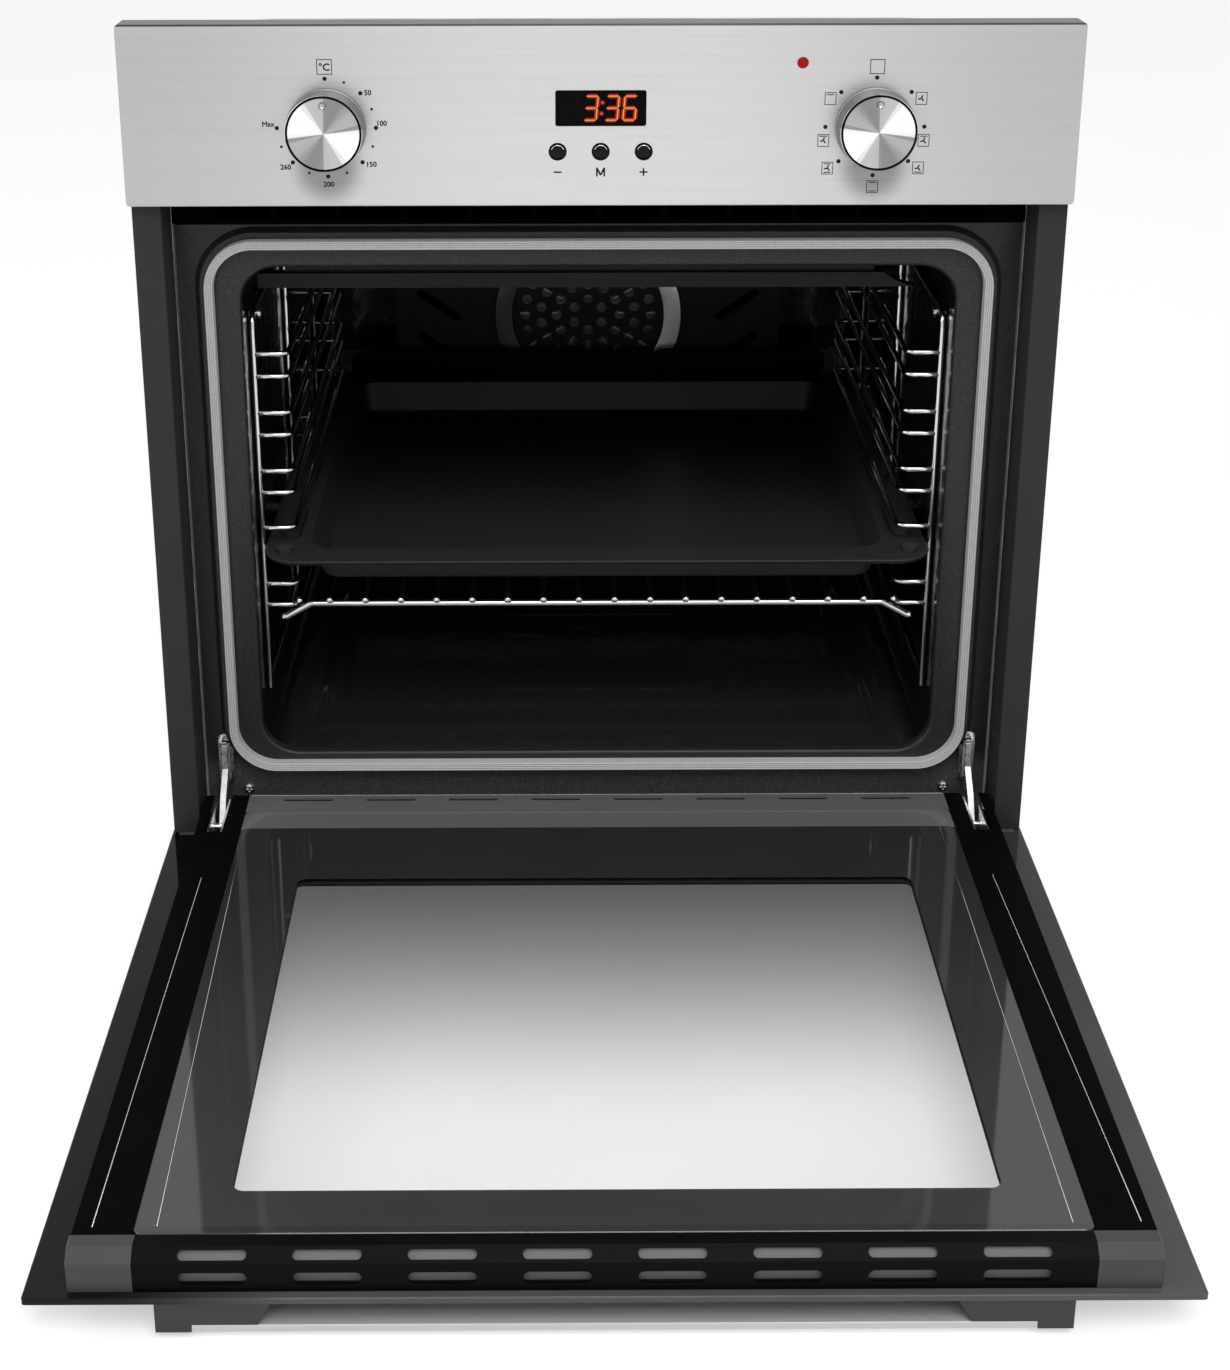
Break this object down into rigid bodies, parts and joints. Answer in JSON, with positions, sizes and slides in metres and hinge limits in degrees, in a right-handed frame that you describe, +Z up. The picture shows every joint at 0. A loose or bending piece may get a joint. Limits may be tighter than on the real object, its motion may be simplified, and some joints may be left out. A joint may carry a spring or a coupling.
{
  "type": "wall oven",
  "caption": "Built-in electric oven with a drop-down glass door, two turning knobs, a clock with keys, a sliding baking tray and a wire shelf on side racks.",
  "frame": {"origin": "underside of the base pan, on the centre line, in the plane of the cabinet's front edge", "axes": "+X to the viewer's right, +Y into the cabinet, +Z up"},
  "size_m": [0.595, 0.9997, 0.595],
  "materials": {
    "galvanised_sheet": "satin zinc-coated sheet",
    "trim_paint": "satin dark grey",
    "enamel": "gloss black enamel",
    "brushed_steel": "brushed",
    "bright_steel": "bright zinc plate",
    "chromed_wire": "polished",
    "heater_tube": "dull oxidised",
    "seal": "matt light grey",
    "glass_wool": "loose fibre",
    "door_glass": "polished, dark printed border",
    "lamp_glass": "clear",
    "ceramic": "glazed",
    "black_paint": "satin black",
    "grey_plastic": "fine grained",
    "dark_plastic": "satin",
    "black_gloss": "gloss black",
    "red_lens": "translucent red",
    "motor_body": "lacquered laminations",
    "light_alloy": "as rolled"
  },
  "bodies": {
    "housing": {"base_pan": "galvanised_sheet", "outer_casing": "galvanised_sheet", "rear_cover": "galvanised_sheet", "front_frame": "enamel", "cavity_liner": "enamel", "cavity_back": "enamel", "door_gasket": "seal", "insulation": "glass_wool", "top_deflector": "enamel", "grill_element": "heater_tube", "bottom_element": "heater_tube", "fan_baffle": "enamel", "fan_ring": "brushed_steel", "ring_element": "heater_tube", "fan_motor": "motor_body", "lamp_glass": "lamp_glass", "lamp_holder": "ceramic", "air_duct": "galvanised_sheet", "air_outlet": "dark_plastic", "blower_housing": "galvanised_sheet", "blower_motor": "motor_body", "terminal_block": "ceramic", "control_panel": "brushed_steel", "panel_carrier": "galvanised_sheet", "display_window": "black_gloss", "timer_module": "dark_plastic", "power_lamp": "red_lens", "frame_screws": "bright_steel", "rack_pegs": "chromed_wire", "side_trims": "trim_paint", "side_racks": "chromed_wire", "hinge_arms": "bright_steel", "hinge_receivers": "bright_steel", "thermostat": "dark_plastic", "function_selector": "dark_plastic"},
    "door": {"outer_glass": "door_glass", "inner_glass": "door_glass", "door_bottom_rail": "brushed_steel", "vent_trim": "black_paint", "vent_baffle": "black_paint", "handle_bar": "brushed_steel", "door_screws": "bright_steel", "handle_screws": "bright_steel", "door_rails": "brushed_steel", "trim_caps": "grey_plastic", "handle_brackets": "dark_plastic", "hinge_bodies": "bright_steel", "hinge_pins": "bright_steel", "hinge_springs": "bright_steel"},
    "temperature_control": {"temperature_knob": "brushed_steel", "thermostat_shaft": "bright_steel"},
    "function_control": {"function_knob": "brushed_steel", "selector_shaft": "bright_steel"},
    "minus_key": {"minus_button": "black_gloss"},
    "mode_key": {"mode_button": "black_gloss"},
    "plus_key": {"plus_button": "black_gloss"},
    "hot_air_fan": {"fan_wheel": "brushed_steel"},
    "cooling_fan": {"blower_wheel": "light_alloy"},
    "tray": {"baking_tray": "enamel"},
    "shelf": {"wire_shelf": "chromed_wire"}
  },
  "joints": [
    {"name": "door_hinge", "type": "hinge", "parent": "housing", "child": "door", "pos_m": [0, -0.011, 0.0335], "axis": [-1, 0, 0], "range_deg": [0, 90], "stiffness_Nm_per_rad": 5, "springref_deg": 90},
    {"name": "temperature_knob_turn", "type": "hinge", "parent": "housing", "child": "temperature_control", "pos_m": [-0.17, -0.02, 0.531], "axis": [0, 1, 0], "range_deg": [0, 270]},
    {"name": "function_knob_turn", "type": "hinge", "parent": "housing", "child": "function_control", "pos_m": [0.17, -0.02, 0.531], "axis": [0, 1, 0], "continuous": true},
    {"name": "minus_press", "type": "slide", "parent": "housing", "child": "minus_key", "axis": [0, 1, 0], "range_m": [0, 0.0012], "stiffness_N_per_m": 800, "springref_m": -0.001},
    {"name": "mode_press", "type": "slide", "parent": "housing", "child": "mode_key", "axis": [0, 1, 0], "range_m": [0, 0.0012], "stiffness_N_per_m": 800, "springref_m": -0.001},
    {"name": "plus_press", "type": "slide", "parent": "housing", "child": "plus_key", "axis": [0, 1, 0], "range_m": [0, 0.0012], "stiffness_N_per_m": 800, "springref_m": -0.001},
    {"name": "hot_air_fan_spin", "type": "hinge", "parent": "housing", "child": "hot_air_fan", "pos_m": [0, 0.44, 0.275], "axis": [0, 1, 0], "continuous": true},
    {"name": "cooling_fan_spin", "type": "hinge", "parent": "housing", "child": "cooling_fan", "pos_m": [0, 0.376, 0.498], "axis": [1, 0, 0], "continuous": true},
    {"name": "tray_slide", "type": "slide", "parent": "housing", "child": "tray", "axis": [0, 1, 0], "range_m": [-0.3, 0]},
    {"name": "shelf_slide", "type": "slide", "parent": "housing", "child": "shelf", "axis": [0, 1, 0], "range_m": [-0.3, 0]}
  ]
}
